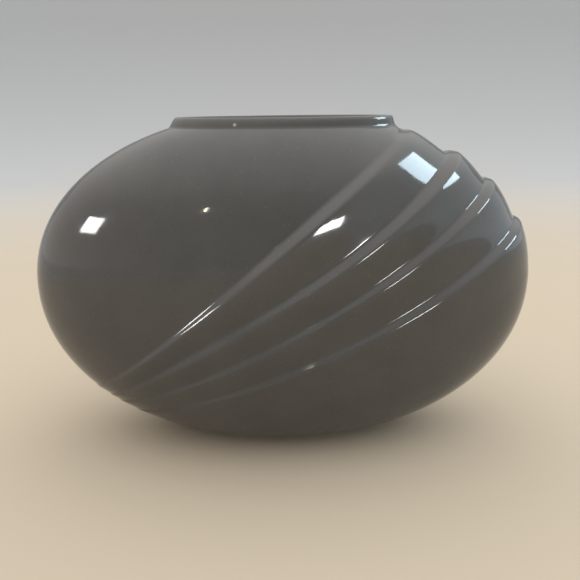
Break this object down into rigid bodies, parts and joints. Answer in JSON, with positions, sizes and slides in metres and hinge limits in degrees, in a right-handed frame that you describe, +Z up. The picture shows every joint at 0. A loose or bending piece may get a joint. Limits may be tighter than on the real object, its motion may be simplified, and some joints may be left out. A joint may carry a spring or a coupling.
{
  "type": "pillow vase",
  "caption": "Flattened oval pillow vase of glossy grey glazed ceramic with a low collared mouth and a fan of lapped pleats running from its lower left to its upper right.",
  "frame": {"origin": "on the table under the middle of the oval foot", "axes": "+Z up through the mouth, +X along the vase's width towards the high ends of the pleats, -Y out of the front"},
  "size_m": [0.24, 0.106, 0.1562],
  "materials": {
    "grey_glaze": "gloss glaze with a faint dark speckle",
    "bare_clay": "dry, wiped clean of glaze"
  },
  "bodies": {
    "root": {"front_wall": "grey_glaze", "rear_wall": "grey_glaze", "front_pleat_1": "grey_glaze", "front_pleat_2": "grey_glaze", "front_pleat_3": "grey_glaze", "front_pleat_4": "grey_glaze", "rear_pleat_1": "grey_glaze", "rear_pleat_2": "grey_glaze", "rear_pleat_3": "grey_glaze", "rear_pleat_4": "grey_glaze", "neck_collar": "grey_glaze", "floor_plate": "grey_glaze", "foot_ring": "bare_clay"}
  },
  "joints": []
}
